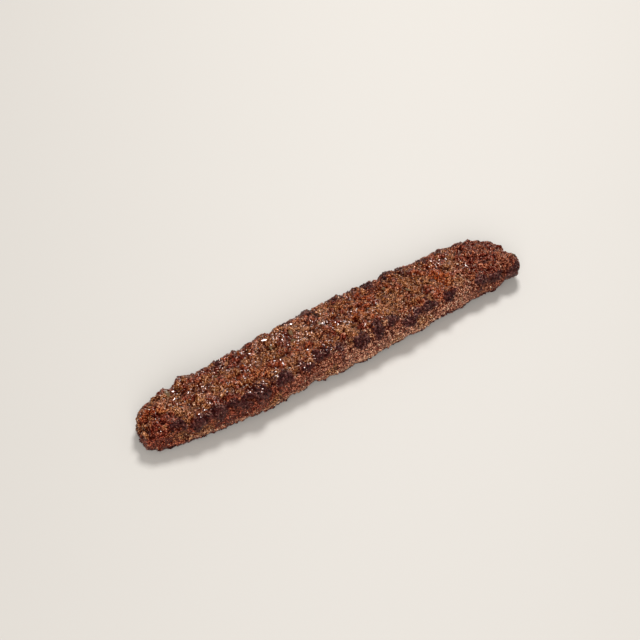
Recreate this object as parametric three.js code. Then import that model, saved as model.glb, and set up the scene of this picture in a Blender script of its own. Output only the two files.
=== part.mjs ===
// A grilled kofta kebab: one long flat bar of minced meat, off its skewer, lying on its broad side.
// It is a single solid. The top is lightly crowned and crossed by the shallow grooves that the cook's
// fingers press into the meat, and the front top corner stands up as a browned lip. Both ends are rounded
// with their far corners cut back, and the right end curls a little off the surface underneath.
// Millimetres, +X along the bar, +Z up, origin on the resting surface below the middle of the bounding box.

import * as THREE from "three";
import { ParametricGeometry } from "three/addons/geometries/ParametricGeometry.js";

const { clamp, degToRad, smoothstep } = THREE.MathUtils;
const FULL_TURN = 2 * Math.PI;
const QUARTER_TURN = Math.PI / 2;

// Driving dimensions
const LENGTH = 228; // before the far corners of the ends are cut back
const THICKNESS = 15.6;

// Distance of the far (+Y) and the near (-Y) side from the bar's line, at even steps along the length
const FAR_SIDE = [11.4, 13.8, 14.6, 16.8, 18.4, 17.6, 18, 17, 15.9];
const NEAR_SIDE = [10.6, 15.8, 18.8, 18.6, 19, 18.4, 17.2, 15.6, 15];

// Thickness at even steps along the length, as a share of THICKNESS
const HEIGHT_SHARE = [0.84, 0.95, 1, 0.96, 1, 1.02, 0.97, 0.96, 0.86];

// Section: a superellipse, pressed flat where it lies on the surface
const SQUARENESS = 3.4;
const FLATTENED = 1.2; // how far the section would reach below the surface if it weren't pressed flat
const USUAL_REACH = 17.5;
const USUAL_HALF_HEIGHT = THICKNESS / 2;

// Rounded ends: how blunt they are, how much of the length each takes to close, and how far its far
// corner is cut back
const END_BLUNTNESS = 2.5;
const LEFT_END = 9;
const LEFT_CUT_BACK = 5;
const RIGHT_END = 13;
const RIGHT_CUT_BACK = 9;
const CUT_BACK_RUN = 30; // over how much of the length a cut-back fades out

// The right end curls off the surface
const CURL_RISE = 3.2;
const CURL_RUN = 28;

// Finger grooves across the top and down the sides, which stray a little from even places along the bar
const GROOVE_PITCH = 10.5;
const GROOVE_DEPTH = 0.9;
const GROOVE_SHARPNESS = 1.5;
const GROOVE_START = -0.7; // height in the section where a groove starts, from -1 underneath to 1 on top
const GROOVE_FULL = 0.6; // height in the section where it has its whole depth
const STRAY_PHASE = 0.6;
const STRAYS = [
  { wave: 145, reach: 2.6 },
  { wave: 45, reach: 1 },
];

// Browned lip along the front top corner
const LIP_HEIGHT = 0.56;
const LIP_UNEVENNESS = 0.48; // more lip where the mince swells, and less where it dips
const LIP_PLACE = degToRad(134) / FULL_TURN;
const LIP_SPREAD = 0.045;

// Nub at the near corner of the right end
const NUB_RISE = 1.8;
const NUB_RADIUS = 5.5;
const NUB_PLACE = new THREE.Vector3(104, -13, 8.5);

// Lumps of mince: three swells of different length and direction laid over each other
const LUMP_SWELL = 0.15;
const LUMP_BEND = 0.8; // how far one set of lumps bends the lines of the next
const LUMPS = [
  { wave: 17, phase: 0 },
  { wave: 11.3, phase: 2.7 },
  { wave: 7.9, phase: 5.4 },
];
const LUMPS_ACROSS = new THREE.Vector3(0, 0.9, 0.5);
const LUMPS_ALONG = new THREE.Vector3(1, 0, 0.35);
const LUMPS_UPWARDS = new THREE.Vector3(0, -0.3, 0.8);

// Mesh: steps around the section, along the straight stretch, and over each end
const STEPS_AROUND = 36;
const STEPS_ALONG = 76;
const STEPS_PER_END = 6;
const STEPS_IN_ALL = STEPS_ALONG + 2 * STEPS_PER_END;

/** A power of a number's size that keeps the number's sign. */
function signedPower(value, power) {
  return Math.sign(value) * Math.abs(value) ** power;
}

/** A smooth hump: 1 in the middle, falling to nothing a few spreads away. */
function hump(distance, spread) {
  return Math.exp(-((distance / spread) ** 2));
}

/** A smooth run through values at even steps, as a function of the share, 0 to 1, of the way along. */
function smoothRun(values) {
  const curve = new THREE.SplineCurve(values.map((value, step) => new THREE.Vector2(step, value)));
  return (share) => curve.getPoint(clamp(share, 0, 1)).y;
}

const farSideAt = smoothRun(FAR_SIDE);
const nearSideAt = smoothRun(NEAR_SIDE);
const heightShareAt = smoothRun(HEIGHT_SHARE);

/** The section at the bar's usual size, around its own middle, in Y and Z. */
class Section extends THREE.Curve {
  getPoint(t, target = new THREE.Vector3()) {
    const sideways = signedPower(Math.cos(FULL_TURN * t), 2 / SQUARENESS);
    const upwards = signedPower(Math.sin(FULL_TURN * t), 2 / SQUARENESS);
    return target.set(0, USUAL_REACH * sideways, USUAL_HALF_HEIGHT * upwards);
  }
}

const section = new Section();

/** How much of the full section is left part way over a rounded end, from 0 at its tip to 1. */
function endShare(turn) {
  return Math.sin(turn) ** (2 / END_BLUNTNESS);
}

/** Where along the bar a ring lies, and the share of the full section that it has there. */
function ringAt(step) {
  const leftTurn = QUARTER_TURN * Math.min(1, step / STEPS_PER_END);
  const rightTurn = QUARTER_TURN * Math.min(1, (STEPS_IN_ALL - step) / STEPS_PER_END);
  const straight = LENGTH - LEFT_END - RIGHT_END;
  const straightShare = clamp((step - STEPS_PER_END) / STEPS_ALONG, 0, 1);
  const fromLeft = LEFT_END * (1 - Math.cos(leftTurn));
  const fromRight = RIGHT_END * Math.cos(rightTurn);
  return {
    along: -LENGTH / 2 + fromLeft + straight * straightShare + fromRight,
    share: endShare(leftTurn) * endShare(rightTurn),
  };
}

/** How deep in a finger groove a place along the bar is, from 0 on a ridge to 1 at a groove's bottom. */
function grooveAt(along) {
  let place = along;
  for (const { wave, reach } of STRAYS) {
    place += reach * Math.sin((FULL_TURN * along) / wave + STRAY_PHASE);
  }
  const depth = (1 + Math.cos((FULL_TURN * place) / GROOVE_PITCH)) / 2;
  return depth ** GROOVE_SHARPNESS;
}

/** Swell of the mince at a point, summed over the sets of lumps: above 0 on a lump, below 0 in a dip. */
function swellAt(point) {
  let swell = 0;
  for (const { wave, phase } of LUMPS) {
    const turn = FULL_TURN / wave;
    const across = Math.sin(turn * LUMPS_ACROSS.dot(point) + phase);
    const along = Math.sin(turn * LUMPS_ALONG.dot(point) + LUMP_BEND * across - phase);
    swell += along * Math.cos(turn * LUMPS_UPWARDS.dot(point) + phase);
  }
  return swell;
}

/** How far a place along the bar is into the cut-back run of the end in a direction, -1 or 1: 0 to 1. */
function towardsEnd(along, direction) {
  return smoothstep(direction * along, LENGTH / 2 - CUT_BACK_RUN, LENGTH / 2);
}

/** Puts into target the surface point at a share around the section and a share along the bar. */
function surfacePoint(around, lengthwise, target) {
  const ring = ringAt(lengthwise * STEPS_IN_ALL);
  const share = ring.along / LENGTH + 1 / 2;
  const onSection = section.getPointAt(around);
  const sideways = onSection.y / USUAL_REACH;
  const upwards = onSection.z / USUAL_HALF_HEIGHT;

  // Section between its two sides, and from the surface up to the crown
  const reach = sideways > 0 ? farSideAt(share) : nearSideAt(share);
  const halfHeight = (THICKNESS * heightShareAt(share) + FLATTENED) / 2;
  const middle = halfHeight - FLATTENED;
  target.set(ring.along, ring.share * reach * sideways, middle + ring.share * halfHeight * upwards);

  // Ends cut back towards their far corners
  const farness = (1 + ring.share * sideways) / 2;
  target.x += LEFT_CUT_BACK * farness * towardsEnd(ring.along, -1);
  target.x -= RIGHT_CUT_BACK * farness * towardsEnd(ring.along, 1);

  // Relief, laid on along the section's outward direction: lumps, lip and nub, less the grooves
  const outwards = new THREE.Vector3(
    0,
    signedPower(sideways, SQUARENESS - 1) / USUAL_REACH,
    signedPower(upwards, SQUARENESS - 1) / USUAL_HALF_HEIGHT,
  ).normalize();
  const lumps = LUMP_SWELL * swellAt(target);
  const lip = (LIP_HEIGHT + LIP_UNEVENNESS * lumps) * hump(around - LIP_PLACE, LIP_SPREAD);
  const nub = NUB_RISE * hump(target.distanceTo(NUB_PLACE), NUB_RADIUS);
  const groove = GROOVE_DEPTH * smoothstep(upwards, GROOVE_START, GROOVE_FULL) * grooveAt(ring.along);
  target.addScaledVector(outwards, ring.share * (lumps + lip + nub - groove));

  // Underside: pressed flat on the surface, and curled off it at the right end
  const curl = CURL_RISE * smoothstep(ring.along, LENGTH / 2 - CURL_RUN, LENGTH / 2);
  target.z = Math.max(target.z, curl);
}

/** The bar's surface, moved so that the origin is below the middle of its bounding box. */
function koftaGeometry() {
  const geometry = new ParametricGeometry(surfacePoint, STEPS_AROUND, STEPS_IN_ALL);
  geometry.computeBoundingBox();
  const { min, max } = geometry.boundingBox;
  return geometry.translate(-(min.x + max.x) / 2, -(min.y + max.y) / 2, -min.z);
}

const grilledMince = new THREE.MeshStandardMaterial({ color: 0x6b3a26, roughness: 0.5, metalness: 0 });

const kofta = new THREE.Mesh(koftaGeometry(), grilledMince);
kofta.name = "kofta";

const part = new THREE.Group();
part.add(kofta);

export default part;
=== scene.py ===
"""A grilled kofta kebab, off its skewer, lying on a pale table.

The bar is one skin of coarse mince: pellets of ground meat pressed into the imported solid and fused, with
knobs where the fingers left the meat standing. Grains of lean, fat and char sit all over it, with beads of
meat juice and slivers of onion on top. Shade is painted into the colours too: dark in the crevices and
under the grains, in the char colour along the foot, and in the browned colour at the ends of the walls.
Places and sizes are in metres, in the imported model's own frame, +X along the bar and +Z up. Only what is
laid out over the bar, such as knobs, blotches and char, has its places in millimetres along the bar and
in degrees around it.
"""

import logging
import math
from dataclasses import dataclass, field
from enum import Enum
from typing import ClassVar, Protocol, Sequence

import bmesh
import bpy
import numpy as np
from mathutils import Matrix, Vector
from mathutils.kdtree import KDTree


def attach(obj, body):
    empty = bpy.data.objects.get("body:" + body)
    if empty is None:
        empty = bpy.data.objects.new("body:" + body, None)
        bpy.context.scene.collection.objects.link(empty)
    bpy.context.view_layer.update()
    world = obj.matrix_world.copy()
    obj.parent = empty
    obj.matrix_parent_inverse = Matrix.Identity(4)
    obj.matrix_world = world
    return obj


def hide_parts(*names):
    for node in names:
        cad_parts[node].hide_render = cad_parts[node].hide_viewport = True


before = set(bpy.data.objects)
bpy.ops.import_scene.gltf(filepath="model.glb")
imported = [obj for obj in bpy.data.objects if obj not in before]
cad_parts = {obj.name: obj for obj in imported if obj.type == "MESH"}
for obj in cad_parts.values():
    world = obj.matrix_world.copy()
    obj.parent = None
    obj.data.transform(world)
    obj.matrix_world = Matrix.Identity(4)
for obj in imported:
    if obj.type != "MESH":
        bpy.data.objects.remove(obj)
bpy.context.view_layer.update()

log = logging.getLogger("kofta")

MM = 0.001
BODY = "root"
CAD_NODE = "kofta"
WHITE_LEVEL = 255
TURN = 360
SHORTEST = 1e-20

Colour = tuple[float, float, float, float]
Point = tuple[float, float, float]
Range = tuple[float, float]
Proportions = tuple[Range, Range, Range]
Chance = np.random.Generator
Piece = bpy.types.Object
Socket = bpy.types.NodeSocket


def tone(red: int, green: int, blue: int) -> Colour:
    """A paint-chart colour, each channel from 0 to 255, as Blender's own linear one."""
    shares = (channel / WHITE_LEVEL for channel in (red, green, blue))
    return (*(((s + 0.055) / 1.055) ** 2.4 if s > 0.04045 else s / 12.92 for s in shares), 1.0)


def eased(values: np.ndarray, low: float, high: float) -> np.ndarray:
    """A smooth step in some numbers, from 0 at low to 1 at high."""
    share = np.clip((values - low) / (high - low), 0, 1)
    return share * share * (3 - 2 * share)


def lifted(shares: np.ndarray, least: float) -> np.ndarray:
    """Shares from 0 to 1 squeezed into the span from a least share to 1."""
    return least + (1 - least) * shares


def unit(rows: np.ndarray) -> np.ndarray:
    """Rows of coordinates, each scaled to length 1."""
    return rows / np.maximum(np.linalg.norm(rows, axis=1, keepdims=True), SHORTEST)


def drawn_sizes(radius: Range, proportions: Proportions, count: int, rng: Chance) -> np.ndarray:
    """Random half lengths, widths and heights, drawn from a radius and its shares each way."""
    shape = np.stack([rng.uniform(low, high, count) for low, high in proportions], 1)
    return rng.uniform(*radius, (count, 1)) * shape


@dataclass(frozen=True)
class Relief:
    """Smooth random bumps in space: how far apart they are, which random ones, and how high they reach."""

    size: float
    seed: int
    height: float = 1.0

    LAYERS: ClassVar[int] = 2
    TABLE: ClassVar[np.ndarray] = np.random.default_rng(11).uniform(-1, 1, 2**14)
    STRIDES: ClassVar[np.ndarray] = np.array([73856093, 19349663, 83492791], np.int64)
    SEED_STRIDE: ClassVar[int] = 7919
    MIXER: ClassVar[int] = 1274126177
    SHIFTS: ClassVar[tuple[int, int]] = (13, 16)

    def at(self, points: np.ndarray) -> np.ndarray:
        """Heights of the bumps at some points: each layer is half as coarse and half as high as the last.

        Args:
            points: One row of coordinates for each point.

        Returns:
            One height for each point.
        """
        heights = np.zeros(len(points))
        for layer in range(self.LAYERS):
            share = 0.5**layer
            heights += share * self._layer(points / (self.size * share), self.seed + layer)
        return self.height * heights

    def _layer(self, places: np.ndarray, seed: int) -> np.ndarray:
        """One layer of bumps: a random height at each corner of a lattice, and a smooth run between them.

        Args:
            places: Coordinates in lattice steps.
            seed: Which random layer this is.

        Returns:
            One height from -1 to 1 for each place.
        """
        corner = np.floor(places).astype(np.int64)
        within = eased(places - corner, 0, 1)
        early, late = self.SHIFTS
        heights = np.zeros(len(places))
        for step in np.ndindex(2, 2, 2):
            keys = ((corner + step) * self.STRIDES).sum(1) + seed * self.SEED_STRIDE
            keys = (keys ^ (keys >> early)) * self.MIXER
            weight = np.where(step, within, 1 - within).prod(1)
            heights += weight * self.TABLE[(keys ^ (keys >> late)) & (len(self.TABLE) - 1)]
        return heights


@dataclass(frozen=True)
class Clouds:
    """Cloudy patches: which random ones, the height in the clouds where they begin, and their size."""

    seed: int
    low: float
    size: float = 6.5 * MM
    edge: float = 0.4

    def at(self, points: np.ndarray) -> np.ndarray:
        """How far inside a patch each point lies: 0 between the patches, 1 inside."""
        return eased(Relief(self.size, self.seed).at(points), self.low, self.low + self.edge)


@dataclass
class Shell:
    """The points and triangles of a closed skin."""

    points: np.ndarray
    faces: np.ndarray

    @classmethod
    def of_object(cls, piece: Piece) -> "Shell":
        """Reads a Blender mesh object's finished skin, modifiers included.

        Args:
            piece: The mesh object.

        Returns:
            Its points and triangles.
        """
        shown = piece.evaluated_get(bpy.context.evaluated_depsgraph_get())
        mesh = shown.to_mesh()
        mesh.calc_loop_triangles()
        points = np.empty(len(mesh.vertices) * 3)
        mesh.vertices.foreach_get("co", points)
        faces = np.empty(len(mesh.loop_triangles) * 3, np.int32)
        mesh.loop_triangles.foreach_get("vertices", faces)
        shown.to_mesh_clear()
        return cls(points.reshape(-1, 3), faces.reshape(-1, 3))

    @classmethod
    def joined(cls, shells: Sequence["Shell"]) -> "Shell":
        """Puts several skins into one list of points and triangles.

        Args:
            shells: The skins, which stay separate islands.

        Returns:
            The one shell that holds them all.
        """
        starts = np.cumsum([0] + [len(s.points) for s in shells[:-1]])
        points = np.concatenate([s.points for s in shells])
        faces = np.concatenate([s.faces + start for s, start in zip(shells, starts)])
        return cls(points, faces)

    def facings(self) -> np.ndarray:
        """Outward directions of the triangles, each as long as twice the triangle's area."""
        corners = self.points[self.faces]
        return np.cross(corners[:, 1] - corners[:, 0], corners[:, 2] - corners[:, 0])

    def normals(self) -> np.ndarray:
        """Averages the directions of the triangles around each point, the larger ones counting for more.

        Returns:
            One outward direction of length 1 for each point.
        """
        total = np.zeros_like(self.points)
        facings = self.facings()
        for corner in range(3):
            np.add.at(total, self.faces[:, corner], facings)
        return unit(total)

    def moved(self, distances: np.ndarray | float) -> "Shell":
        """The skin with each point moved outwards, by its own distance or by one for all."""
        return Shell(self.points + np.reshape(distances, (-1, 1)) * self.normals(), self.faces)

    def averaged(self, values: np.ndarray, rounds: int) -> np.ndarray:
        """Values at the points, each averaged with its neighbours a number of times over.

        Args:
            values: One number, or one row of numbers, for each point.
            rounds: How many times to average.

        Returns:
            The averaged values, in the same form.
        """
        ends = np.concatenate([self.faces[:, [0, 1]], self.faces[:, [1, 2]], self.faces[:, [2, 0]]])
        start, end = ends.T
        count = len(self.points)
        degree = np.maximum(np.bincount(start, minlength=count), 1)
        columns = values.reshape(count, -1).T.copy()
        for _ in range(rounds):
            columns = np.stack([np.bincount(start, c[end], count) / degree for c in columns])
        return columns.T.reshape(values.shape)

    def worked(self, kind: str, **settings: object) -> "Shell":
        """The skin after one of Blender's modifiers.

        Args:
            kind: The modifier's type.
            **settings: The modifier's own settings.

        Returns:
            The new skin.
        """
        piece = self.object("work_piece")
        modifier = piece.modifiers.new("work", kind)
        for setting, value in settings.items():
            setattr(modifier, setting, value)
        shell = Shell.of_object(piece)
        bpy.data.meshes.remove(piece.data)
        return shell

    def object(self, name: str) -> Piece:
        """Makes a smooth-shaded Blender object of the shell.

        Args:
            name: The object's name.

        Returns:
            The new object, in the scene.
        """
        mesh = bpy.data.meshes.new(name)
        mesh.vertices.add(len(self.points))
        mesh.vertices.foreach_set("co", self.points.astype(np.float32).ravel())
        mesh.loops.add(self.faces.size)
        mesh.loops.foreach_set("vertex_index", self.faces.astype(np.int32).ravel())
        mesh.polygons.add(len(self.faces))
        mesh.polygons.foreach_set("loop_start", np.arange(0, self.faces.size, 3, dtype=np.int32))
        mesh.update(calc_edges=True)
        mesh.validate()
        mesh.shade_smooth()
        piece = bpy.data.objects.new(name, mesh)
        bpy.context.scene.collection.objects.link(piece)
        return piece


@dataclass
class Places:
    """Spots on a skin, each with its outward direction."""

    points: np.ndarray
    normals: np.ndarray

    @classmethod
    def joined(cls, several: Sequence["Places"]) -> "Places":
        """Several lists of spots as one, in their order."""
        points = np.concatenate([places.points for places in several])
        return cls(points, np.concatenate([places.normals for places in several]))

    def only(self, kept: np.ndarray) -> "Places":
        """The spots that a mask or a list of row numbers picks out."""
        return Places(self.points[kept], self.normals[kept])

    def sunk(self, depths: np.ndarray | float) -> "Places":
        """The spots moved inwards, each by its own depth or by one for all."""
        return Places(self.points - np.reshape(depths, (-1, 1)) * self.normals, self.normals)

    def spaced(self, gap: float) -> "Places":
        """Thins the spots until no two are closer than a gap.

        Args:
            gap: The least distance between two spots.

        Returns:
            The spots that are left, in their old order.
        """
        around = list(np.ndindex(3, 3, 3))
        homes = np.floor(self.points / gap).astype(int)
        cells: dict[tuple[int, int, int], list[Point]] = {}
        kept = []
        for index, (home, (x, y, z)) in enumerate(zip(homes.tolist(), self.points.tolist())):
            free = True
            for i, j, k in around:
                for px, py, pz in cells.get((home[0] + i - 1, home[1] + j - 1, home[2] + k - 1), ()):
                    free = free and (px - x) ** 2 + (py - y) ** 2 + (pz - z) ** 2 > gap * gap
            if free:
                cells.setdefault(tuple(home), []).append((x, y, z))
                kept.append(index)
        return self.only(np.array(kept, int))


class Skin:
    """A shell to scatter things over and to find places on."""

    def __init__(self, shell: Shell) -> None:
        """Prepares the shell's triangles for scattering.

        Args:
            shell: The skin.
        """
        self.shell = shell
        self.point_normals = shell.normals()
        areas = np.linalg.norm(shell.facings(), axis=1)
        self._reach = np.cumsum(areas) / areas.sum()

    def scatter(self, count: int, rng: Chance) -> Places:
        """Spots spread evenly and at random over the whole skin.

        Args:
            count: How many spots.
            rng: The source of chance.

        Returns:
            The spots.
        """
        picked = np.searchsorted(self._reach, rng.random(count)).clip(0, len(self._reach) - 1)
        u, v = rng.random((2, count))
        folded = u + v > 1
        u[folded], v[folded] = 1 - u[folded], 1 - v[folded]
        weights = np.stack([1 - u - v, u, v], 1)[..., None]
        corners = self.shell.faces[picked]
        points = (self.shell.points[corners] * weights).sum(1)
        return Places(points, unit((self.point_normals[corners] * weights).sum(1)))

    def highest(self, along: float, across: float, reach: float) -> Places:
        """The highest spot near a place seen from above.

        Args:
            along: The place along the bar.
            across: The place across the bar.
            reach: How far off the spot may be.

        Returns:
            That one spot, with an outward direction averaged over the spots near it.
        """
        offsets = self.shell.points[:, :2] - (along, across)
        near = np.flatnonzero((np.linalg.norm(offsets, axis=1) < reach) & (self.point_normals[:, 2] > 0))
        top = near[np.argmax(self.shell.points[near, 2])]
        return Places(self.shell.points[[top]], unit(self.point_normals[near].sum(0, keepdims=True)))


@dataclass(frozen=True)
class Moulds:
    """A set of uneven shapes of radius 1 to copy lumps from.

    Detail 0 gives crumbs with six corners and eight sides. From 1 on they are balls, with 20 triangles at 1
    and four times as many at each further step. The roughness is a share of the radius.
    """

    detail: int
    roughness: float
    first_seed: int
    count: int

    BUMP_SIZE: ClassVar[float] = 0.9

    def shells(self) -> list[Shell]:
        """Makes the shapes, each with bumps of its own.

        Returns:
            The shapes.
        """
        even = self._ball() if self.detail else self._crumb()
        shapes = []
        for seed in range(self.first_seed, self.first_seed + self.count):
            swell = 1 + Relief(self.BUMP_SIZE, seed, self.roughness).at(even.points)
            shapes.append(Shell(even.points * swell[:, None], even.faces))
        return shapes

    def _ball(self) -> Shell:
        """Makes an even ball.

        Returns:
            The ball.
        """
        ball = bmesh.new()
        bmesh.ops.create_icosphere(ball, subdivisions=self.detail, radius=1)
        points = np.array([v.co for v in ball.verts])
        faces = np.array([[v.index for v in f.verts] for f in ball.faces])
        ball.free()
        return Shell(points, faces)

    def _crumb(self) -> Shell:
        """Makes an even crumb: a corner on each side of each axis, and a triangle in each eighth of space.

        Returns:
            The crumb.
        """
        points = np.concatenate([np.eye(3), -np.eye(3)])
        faces = []
        for signs in np.ndindex(2, 2, 2):
            x, y, z = (axis + 3 * sign for axis, sign in enumerate(signs))
            faces.append((x, z, y) if sum(signs) % 2 else (x, y, z))
        return Shell(points, np.array(faces))


@dataclass
class Heap:
    """Many lumps in one shell, with what each point belongs to: its lump, and how high up that lump it is."""

    shell: Shell
    owner: np.ndarray
    rise: np.ndarray

    @classmethod
    def pressed_on(
        cls, places: Places, sizes: np.ndarray, shapes: Sequence[Shell], rng: Chance, tilt: float
    ) -> "Heap":
        """Copies of some shapes, one at each place, each turned at random about its own upright.

        Args:
            places: The middles of the copies and their uprights.
            sizes: Half length, half width and half height of each copy.
            shapes: The shapes to pick from.
            rng: The source of chance.
            tilt: How far an upright strays from the place's own outward direction.

        Returns:
            All the copies, none of which reaches below the table.
        """
        count = len(places.points)
        upright = unit(places.normals + tilt * rng.normal(size=(count, 3)))
        lengthwise = unit(np.cross(upright, rng.normal(size=(count, 3))))
        axes = np.stack([lengthwise, np.cross(upright, lengthwise), upright], 1) * sizes[..., None]
        which = rng.integers(len(shapes), size=count)
        shells, owners, rises = [], [], []
        for number, shape in enumerate(shapes):
            mine = np.flatnonzero(which == number)
            points = np.einsum("pk,nkc->npc", shape.points, axes[mine]) + places.points[mine, None]
            starts = np.arange(len(mine))[:, None, None] * len(shape.points)
            shells.append(Shell(points.reshape(-1, 3), (shape.faces[None] + starts).reshape(-1, 3)))
            owners.append(np.repeat(mine, len(shape.points)))
            rises.append(np.tile(shape.points[:, 2], len(mine)))
        shell = Shell.joined(shells)
        shell.points[:, 2] = np.maximum(shell.points[:, 2], 0)
        return cls(shell, np.concatenate(owners), np.concatenate(rises))


class Mark(str, Enum):
    """Numbers that a piece carries at its points."""

    # The char mark also holds the painted shadow along the foot, the browned mark also holds the painted
    # shade on the walls, and the hollow mark holds only painted shade, in crevices and under grains.
    CHAR_AND_SHADE = "char"
    WALL = "wall"
    OLIVE = "olive"
    TAN = "tan"
    ORANGE = "orange"
    OIL = "oil"
    BROWNED_AND_SHADE = "browned"
    TINT = "tint"
    HOLLOW_SHADE = "hollow"

    def store(self, piece: Piece, values: np.ndarray) -> None:
        """Stores the mark on a mesh object, with one number for each of its points."""
        layer = piece.data.attributes.new(self.value, "FLOAT", "POINT")
        layer.data.foreach_set("value", values.astype(np.float32))


@dataclass(frozen=True)
class Layout:
    """Some points and their places along and above the bar, in millimetres, and around it, in degrees.

    The places are a little astray, so that nothing laid out by them has a smooth edge.
    """

    points: np.ndarray
    along: np.ndarray
    around: np.ndarray
    above: np.ndarray

    SECTION_MIDDLE: ClassVar[float] = 6 * MM
    STRAY_ALONG: ClassVar[Relief] = Relief(4 * MM, 41, height=1.6)
    STRAY_AROUND: ClassVar[Relief] = Relief(4 * MM, 43, height=8.0)
    STRAY_ABOVE: ClassVar[Relief] = Relief(4 * MM, 47, height=0.5)

    @classmethod
    def of_points(cls, points: np.ndarray) -> "Layout":
        """Lays out some points.

        Args:
            points: One row of coordinates for each point.

        Returns:
            The points with their places.
        """
        around = np.degrees(np.arctan2(points[:, 2] - cls.SECTION_MIDDLE, points[:, 1])) % TURN
        return cls(
            points,
            points[:, 0] / MM + cls.STRAY_ALONG.at(points),
            around + cls.STRAY_AROUND.at(points),
            points[:, 2] / MM + cls.STRAY_ABOVE.at(points),
        )

    def upwards(self) -> np.ndarray:
        """How far up each point faces: -1 underneath, 0 at the sides and 1 on top."""
        return np.sin(np.radians(self.around))


@dataclass(frozen=True)
class Spot:
    """A place along the bar, in millimetres, and around it, in degrees, with its half length and half width.

    Around the bar's section, 0 degrees is the far side, 90 the top and 180 the near side.
    """

    along: float
    around: float
    half_length: float
    half_width: float

    EDGE_SHARPNESS: ClassVar[float] = 1.5

    def felt_at(self, layout: Layout) -> np.ndarray:
        """How much of the spot some points have.

        Args:
            layout: The points with their places.

        Returns:
            Shares from 1 in the spot's middle to 0 well outside it.
        """
        lengthwise = (layout.along - self.along) / self.half_length
        sideways = (layout.around - self.around) / self.half_width
        return np.exp(-((lengthwise**2 + sideways**2) ** self.EDGE_SHARPNESS))


@dataclass(frozen=True)
class Knob(Spot):
    """A lump that the fingers left standing, or a dent: how many millimetres it stands out, and its char."""

    rise: float
    char: float = 0.0


@dataclass(frozen=True)
class Blotch(Spot):
    """A coloured patch: which colour, and how strong."""

    hue: Mark
    strength: float


@dataclass(frozen=True)
class Mounds:
    """Mounds all over the meat, with creases between them: the high ones are browned, the low ones pale.

    More of them are pale past one place along the bar, and fewer past another.
    """

    relief: Relief = Relief(4.4 * MM, 29)
    height: float = 2.0 * MM
    crease: float = 0.45
    full_upwards: Range = (0.3, 0.8)
    side_height: float = 0.3
    paler: float = 0.18
    paler_past: Range = (-45.0, 25.0)
    browner: float = 0.36
    browner_past: Range = (74.0, 88.0)
    pale_edge: Range = (0.08, 0.22)
    browned_edge: Range = (-0.06, 0.06)

    def rise(self, layout: Layout) -> np.ndarray:
        """How far the meat stands out: a mound by half its height, and a crease sinks in as deep.

        Args:
            layout: The points with their places.

        Returns:
            One distance for each point.
        """
        mounds = eased(np.abs(self.relief.at(layout.points)), 0, self.crease) - 0.5
        grown = lifted(eased(layout.upwards(), *self.full_upwards), self.side_height)
        return self.height * grown * mounds

    def coloured(self, layout: Layout) -> tuple[np.ndarray, np.ndarray]:
        """How pale and how browned the mounds are.

        Args:
            layout: The points with their places.

        Returns:
            For each point, its share of pale mound and its share of browned mound.
        """
        mounds = self.relief.at(layout.points)
        level = self.paler * eased(layout.along, *self.paler_past)
        level = level - self.browner * eased(layout.along, *self.browner_past)
        return eased(level - mounds, *self.pale_edge), eased(mounds - level, *self.browned_edge)


@dataclass(frozen=True)
class Walls:
    """The near and the far wall, around the bar: painted shade in the browned colour at first, then pale, and
    darker again at the end, which is painted shade as well.
    """

    near: float = 168.0
    near_width: float = 24.0
    far: float = 0.0
    far_width: float = 22.0
    edge: Range = (0.7, 1.3)
    # Strength of the painted shade on the walls, laid on in the browned colour.
    painted_wall_shade: float = 0.95
    pale_past: Range = (-75.0, 20.0)
    # How much the pale wall darkens again towards the end: painted shade.
    darkening: float = 0.6
    darker_past: Range = (66.0, 92.0)
    patchiness: float = 0.45
    patches: Clouds = Clouds(67, -0.05)

    def coloured(self, layout: Layout) -> tuple[np.ndarray, np.ndarray]:
        """How pale the walls are, and how much painted shade in the browned colour they have.

        Args:
            layout: The points with their places.

        Returns:
            For each point, its share of pale wall and its share of painted shade in the browned colour.
        """
        off_near = np.abs((layout.around - self.near) / self.near_width)
        past_far = (layout.around - self.far + TURN / 2) % TURN - TURN / 2
        wall = 1 - eased(np.minimum(off_near, np.abs(past_far / self.far_width)), *self.edge)
        pale = eased(layout.along, *self.pale_past)
        pale = pale * (1 - self.darkening * eased(layout.along, *self.darker_past))
        patchy = 1 - self.patchiness * self.patches.at(layout.points)
        return wall * pale * patchy, self.painted_wall_shade * wall * (1 - pale)


@dataclass(frozen=True)
class PaleFootLine:
    """A pale line along the foot of the near side."""

    above: float = 4.2
    width: float = 0.95
    begins: Range = (-97.0, -91.0)
    ends: Range = (46.0, 58.0)
    thinnest: float = 0.75
    patches: Clouds = Clouds(49, -0.3)

    def at(self, layout: Layout) -> np.ndarray:
        """How much of the pale line there is at some points.

        Args:
            layout: The points with their places.

        Returns:
            One share for each point.
        """
        within = eased(layout.along, *self.begins) * (1 - eased(layout.along, *self.ends))
        line = np.exp(-(((layout.above - self.above) / self.width) ** 2)) * (layout.points[:, 1] < 0)
        return line * within * lifted(self.patches.at(layout.points), self.thinnest)


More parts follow.
